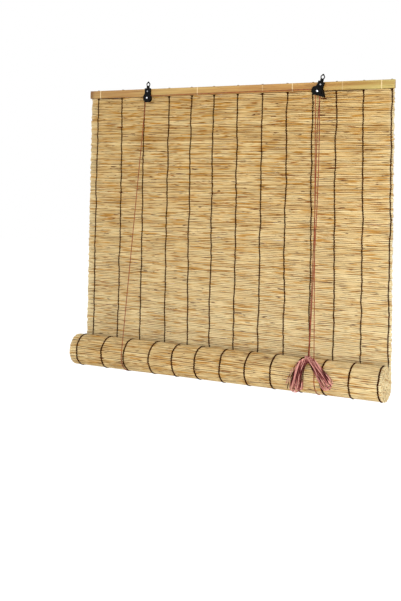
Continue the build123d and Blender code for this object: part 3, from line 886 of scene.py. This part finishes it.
def rod_template(name, cuts):
    """A rod of unit length and radius along X, with its ends bored."""
    bm = bmesh.new()
    lie = Matrix.Translation((0.5, 0, 0)) @ Matrix.Rotation(math.pi / 2, 4, "Y")
    bmesh.ops.create_cone(bm, cap_ends=True, segments=reed_sides, radius1=1, radius2=1,
                          depth=1, matrix=lie)
    if cuts:
        sides = [e for e in bm.edges if abs(e.verts[0].co.x - e.verts[1].co.x) > 0.5]
        bmesh.ops.subdivide_edges(bm, edges=sides, cuts=cuts, use_grid_fill=True)
    caps = [f for f in bm.faces if len(f.verts) == reed_sides]
    bmesh.ops.inset_region(bm, faces=caps, thickness=bore_share, use_even_offset=False)
    bored = bmesh.ops.extrude_discrete_faces(bm, faces=caps)["faces"]
    for face in bored:
        inward = bore_depth if face.calc_center_median().x < 0.5 else -bore_depth
        bmesh.ops.translate(bm, verts=face.verts, vec=(inward, 0, 0))
    bmesh.ops.recalc_face_normals(bm, faces=bm.faces)
    for face in bm.faces:
        outside = all(v.co.yz.length > 0.9 for v in face.verts) and abs(face.normal.x) < 0.5
        face.material_index = 0 if outside else 1
    print(name, "faces", len(bm.faces))
    return finished(name, bm)


long_rod = rod_template("long rod", long_cuts)
short_rod = rod_template("short rod", 0)

# %% Shape the reeds
reed_thickness = 5.5 * mm
reed_depth_share = 0.88
thinnest, thickest, most_taper, swell = 0.93, 1.07, 0.08, 0.06
sway_reach, depth_reach = 0.4 * mm, 0.5 * mm
pinch_share, pinch_reach = 0.82, 0.009  # shares of the thickness and of the length


def reeds(name, rod, places, left, right, seed, paler, ragged=1.6 * mm):
    """Reeds at these (centre, up) places, each a copy of the rod."""
    picks = random.Random(seed)
    bm = bmesh.new()
    layer = bm.verts.layers.float_vector.new("reed")
    # The share of painted light that each point gets.
    painted_light = bm.verts.layers.float.new("painted_light")
    done = 0
    for row, (centre, up) in enumerate(places):
        bm.from_mesh(rod)
        bm.verts.ensure_lookup_table()
        thick = reed_thickness / 2 * picks.uniform(thinnest, thickest)
        taper = picks.uniform(-most_taper, most_taper)
        tone = picks.random()
        start = left + picks.uniform(-ragged, ragged)
        length = right + picks.uniform(-ragged, ragged) - start
        pinches = [picks.random() for _ in range(picks.choice((0, 0, 1, 1, 2)))]
        outward = Vector((0, up.z, -up.y))
        for v in bm.verts[done:]:
            u, side, height = v.co
            x = start + u * length
            sway = sway_reach * smooth_noise(x * 9, row * 3.1, seed)
            depth = depth_reach * smooth_noise(x * 7, row * 2.3, seed + 40)
            swollen = swell * smooth_noise(x * 24, row * 5.7, seed + 9)
            radius = thick * (1 + taper * (u - 0.5) + swollen)
            if any(abs(u - spot) < pinch_reach for spot in pinches):
                radius *= pinch_share
            v[layer] = Vector((x, row + seed * 17 + row_step * height, tone))
            v[painted_light] = paler(x, row / len(places))
            v.co = Vector((x, 0, 0)) + centre + up * (sway + radius * height)
            v.co += outward * (depth + reed_depth_share * radius * side)
        done = len(bm.verts)
    return finished(name, bm)


print("reed thickness", round(reed_thickness / mm, 1), "mm")

# %% [markdown]
# ## The hanging mat
# The flat part of the mat is a stack of reeds, one above the other, from just under the rail
# to where the mat leaves the roll.

# %% Make the hanging mat
row_count = 158
# Shares of painted light: on the mat's ends, towards the roll and towards the right.
right_edge_painted_light, left_edge_painted_light = 0.8, 0.35
foot_painted_light, rightward_painted_light = 0.50, 0.08


def end_painted_light(x):
    """How much light is painted on a reed's ends, past the outer warps."""
    right_share = min(1.0, max(0.0, (x - warp_x[-1] + 4 * mm) / (16 * mm)))
    left_share = min(1.0, max(0.0, (warp_x[0] - x) / (20 * mm)))
    return right_edge_painted_light * right_share + left_edge_painted_light * left_share


def hanging_painted_light(x, down):
    """How much light is painted on a hanging reed: more towards the roll and the right."""
    return min(1.0, down * down * (foot_painted_light + rightward_painted_light * x) + end_painted_light(x))


row_pitch = (mat_high.z - mat_low.z) / row_count
rows = [mat_high.z - (i + 0.5) * row_pitch for i in range(row_count)]
places = [(Vector((0, mat_y, z)), Vector((0, 0, 1))) for z in rows]
mesh = reeds("woven_reeds", long_rod, places, mat_low.x, mat_high.x, 1, hanging_painted_light)
woven = piece(mesh, reed, "reed", "reed_mat", second=cut_reed)
shorten(woven)

# %% [markdown]
# ## The roll
# The outer turn shows all round, so its reeds are as detailed as the hanging ones. The turns
# inside show only their cut ends, so those reeds are plain rods. An outer turn is round and
# steps in by one pitch just before it comes round to the back, under the mat that is hanging
# there. Further in, the turns become an even spiral, which ends in two flat layers on each
# side of the bottom slat.

# %% Lay out the turns
turn_pitch = 4.6 * mm
round_share, round_turns = 0.8, 4
mat_thickness = mat_high.y - mat_low.y
inner_radius = 15.6 * mm


def turn_radius(turn):
    """How far out the middle of the mat lies, this many turns in from the back."""
    whole, part = math.floor(turn), turn - math.floor(turn)
    step = max(0.0, (part - round_share) / (1 - round_share))
    step = step * step * (3 - 2 * step)
    roundness = max(0.0, 1 - whole / round_turns)
    inward = roundness * step + (1 - roundness) * part
    return roll_radius - mat_thickness / 2 - turn_pitch * (whole + inward)


turns = []
turn = 0.5 * row_pitch / (2 * math.pi * roll_radius)
while turn_radius(turn) > inner_radius:
    turns.append(turn)
    turn += row_pitch / (2 * math.pi * turn_radius(turn))
outer_count = sum(turn < 1 for turn in turns)
stations = [on_roll(turn_radius(turn), turn) for turn in turns]
rolled = [(centre, Vector((0, out.z, -out.y))) for centre, out in stations]
print("reeds in the outer turn", outer_count, "and inside it", len(turns) - outer_count)

# %% Make the roll
roll_inset = 2 * mm
roll_ragged = 1.0 * mm
# Shares of painted light on the roll, which grow towards its right end.
least_painted_light, right_painted_light, painted_light_start, painted_light_reach = 0.10, 0.22, -0.1, 0.6
slat_reach = 24.3 * mm
core_layers = ((5.5, (-9.6, -4.8, 0, 4.8, 9.6)), (10.2, (-5, 0, 5)))  # millimetres


def rolled_painted_light(x, down):
    """Painted light: the roll is painted paler towards its right end."""
    share = max(0.0, x - painted_light_start) / painted_light_reach
    return min(1.0, least_painted_light + right_painted_light * share ** 1.5 + end_painted_light(x) / 2)


def core_places():
    """The first reeds of the mat, laid flat on both sides of the slat that it winds on."""
    corners = [v.co for v in nodes["bottom_slat"].data.vertices if v.co.x < 0]
    edges = [b - a for a in corners for b in corners if (b - a).length < slat_reach]
    along = max(edges, key=lambda edge: edge.length).normalized()
    flat = Vector((0, -along.z, along.y))
    centre = Vector((0, roll_axis.y, roll_axis.z))
    return [(centre + (aside * along + side * height * flat) * mm, flat)
            for height, spread in core_layers for aside in spread for side in (-1, 1)]


for name, rod, chosen, seed in (
        ("rolled_reeds", long_rod, rolled[:outer_count], 3),
        ("inner_reeds", short_rod, rolled[outer_count:] + core_places(), 5)):
    mesh = reeds(name, rod, chosen, roll_low.x + roll_inset, roll_high.x - roll_inset, seed,
                 rolled_painted_light, roll_ragged)
    piece(mesh, reed, "reed", "rolled_mat", body="roll", second=cut_reed)

# %% [markdown]
# ## Warps
# Each warp is two threads that twist round each other between the reeds, so that one passes
# in front of a reed and the other behind it. A warp wanders sideways by a few millimetres.

# %% Twine the warps down the mat
thread_radius = 1.75 * mm
roll_swell, thread_bite = 1.25, 0.6
over_reed = reed_depth_share * reed_thickness / 2 + thread_radius * thread_bite
crossing = 1.9 * mm
slow_wander, quick_wander = 3.4 * mm, 1.8 * mm


def wander(x, z):
    """Sideways wander of a warp."""
    slow, quick = smooth_noise(x * 31, z * 14, 2.5), smooth_noise(x * 17, z * 60, 7.5)
    return slow_wander * slow + quick_wander * quick


def twining(x, stations, strand):
    """One thread of a warp through (centre, outward) stations, one for each reed."""
    line = []
    for i, (centre, out) in enumerate(stations):
        front = 1 if (i + strand) % 2 else -1
        middle = centre + Vector((x + wander(x, i * row_pitch), 0, 0))
        line.append(middle + out * front * over_reed)
        if i + 1 < len(stations):
            after = stations[i + 1][0]
            between = (centre + after) / 2 + Vector((x + wander(x, (i + 0.5) * row_pitch), 0, 0))
            line.append(between + Vector((front * crossing, 0, 0)))
    # Every corner is cut off a quarter of the way along, which rounds the thread.
    softened = [line[0]]
    for a, b in zip(line, line[1:]):
        softened += [a.lerp(b, 0.25), a.lerp(b, 0.75)]
    return softened + [line[-1]]


flat_stations = [(Vector((0, mat_y, z)), Vector((0, -1, 0))) for z in rows]
roll_stations = stations[:outer_count]
for i, x in enumerate(warp_x):
    number = f"{i + 1:02d}"
    threads = [twining(x, flat_stations, strand) for strand in (0, 1)]
    mesh = tubes(f"twine_{number}", threads, thread_radius, 4)
    hanging = piece(mesh, warp_finish, "warp_twine", f"warp_{number}")
    shorten(hanging)
    threads = [twining(x, roll_stations, strand) for strand in (0, 1)]
    mesh = tubes(f"roll_twine_{number}", threads, thread_radius * roll_swell, 4)
    piece(mesh, warp_finish, "warp_twine", f"roll_warp_{number}", body="roll")

# %% [markdown]
# ## Ties on the rail
# Each warp starts as a loop over the back slat, which binds the mat to the rail, and is
# knotted in front just under it. A thread runs on from knot to knot along the rail's lower
# edge. It sags into view in a few stretches and hides behind the rail in the others.

# %% Tie the warps to the back slat
tie_offset, tie_radius, tie_knot_size = 0.9 * mm, 1.2 * mm, 0.95 * mm
knot_y = mat_low.y - 0.6 * mm
edge_z = mat_high.z - 1.2 * mm
knot_z = edge_z - 1.2 * mm
loop_foot = mat_high.z - 1 * mm
sagging = (0, 9, 10)
sag, hidden_rise, ripple_reach = 0.4 * mm, 2.6 * mm, 0.4 * mm
edge_shares = (0.08, 0.25, 0.5, 0.75, 0.92)
front, back, over = slat_low.y - tie_offset, slat_high.y + tie_offset, slat_high.z + tie_offset
loop = [(front, loop_foot), (front, slat_high.z), (front + tie_offset, over),
        (back - tie_offset, over), (back, slat_high.z), (back, loop_foot)]
ties = [[Vector((x + aside, y, z)) for y, z in loop]
        for x in warp_x for aside in (-tie_offset, tie_offset)]
edge = []
for i, x in enumerate(warp_x):
    knot = Vector((x + wander(x, 0), knot_y, knot_z))
    ties.append(overhand(knot, tie_knot_size, (-1, 1)[i % 2]))
    edge.append(Vector((x, knot_y, edge_z)))
    if i + 1 < warp_count:
        height = edge_z - sag if i in sagging else edge_z + hidden_rise
        for share in edge_shares:
            ripple = ripple_reach * smooth_noise((i + share) * 9, 3.3, 1.1)
            edge.append(Vector((x + (warp_x[i + 1] - x) * share, knot_y, height + ripple)))
ties.append(along_nurbs(edge))
piece(tubes("warp_ties", ties, tie_radius), warp_finish, "warp_twine")

# %% [markdown]
# ## Floor, backdrop and light
# A pale floor lies as far below the blind as a window's would. A light path node lets the
# camera see it and the world behind it as white, while the blind gets no more than a plain
# share of their light.

# %% Lay the floor and the backdrop
floor_z, floor_reach = -1.9, 20
floor_shade, shadow_shade = 0.8, 0.2
world_strength = 0.56
bm = bmesh.new()
bmesh.ops.create_grid(bm, x_segments=1, y_segments=1, size=floor_reach,
                      matrix=Matrix.Translation((0, 0, floor_z)))
mesh = finished("floor", bm)
floor = placed("floor", mesh)
floor_finish, tree, shader = material("floor", Roughness=0.9, Base_Color=(*even(floor_shade), 1))
path = add(tree, "ShaderNodeLightPath")
glow = add(tree, "ShaderNodeEmission", {"Color": white, "Strength": 1.0})
shadow = add(tree, "ShaderNodeBsdfDiffuse", {"Color": (*even(shadow_shade), 1)})
both = add(tree, "ShaderNodeAddShader", {0: glow.outputs[0], 1: shadow.outputs[0]})
chosen = add(tree, "ShaderNodeMixShader", {0: path.outputs["Is Camera Ray"], 1: shader.outputs[0],
                                           2: both.outputs[0]})
tree.links.new(chosen.outputs[0], tree.nodes["Material Output"].inputs["Surface"])
mesh.materials.append(floor_finish)

world = bpy.data.worlds.new("studio")
world.use_nodes = True
bpy.context.scene.world = world
tree = world.node_tree
path = add(tree, "ShaderNodeLightPath").outputs
seen = path["Is Camera Ray"]
for ray in ("Is Glossy Ray", "Is Transmission Ray"):
    seen = math_node(tree, "MAXIMUM", seen, path[ray])
strength = add(tree, "ShaderNodeMapRange", {"Value": seen, "To Min": world_strength, "To Max": 1.0})
tree.links.new(strength.outputs[0], tree.nodes["Background"].inputs["Strength"])
tree.nodes["Background"].inputs["Color"].default_value = white
print("floor at", floor_z)

# %% [markdown]
# The light is soft and even. The key is a large lamp in front, to the right and a little
# low, which rakes across the reeds. A second one lights the roll's right end from the side,
# and a fill high on the left keeps the shadows open.

# %% Set the lamps
middle = (cad_box[0] + cad_box[1]) / 2
lamps = {  # place, size, power
    "key": ((1.6, -2.15, -0.65), 1.4, 44),
    "side": ((2.7, -0.5, -0.8), 1.2, 20),
    "fill": ((-1.4, -2.4, 1.0), 2.0, 20),
}
for name, (place, size, power) in lamps.items():
    data = bpy.data.lights.new(name, "AREA")
    data.shape = "SQUARE"
    data.size = size
    data.energy = power
    made = placed(name, data)
    made.location = place
    made.rotation_mode = "QUATERNION"
    made.rotation_quaternion = (middle - Vector(place)).to_track_quat("-Z", "Y")
bpy.context.scene.view_settings.view_transform = "Standard"
print("lamps", list(lamps))
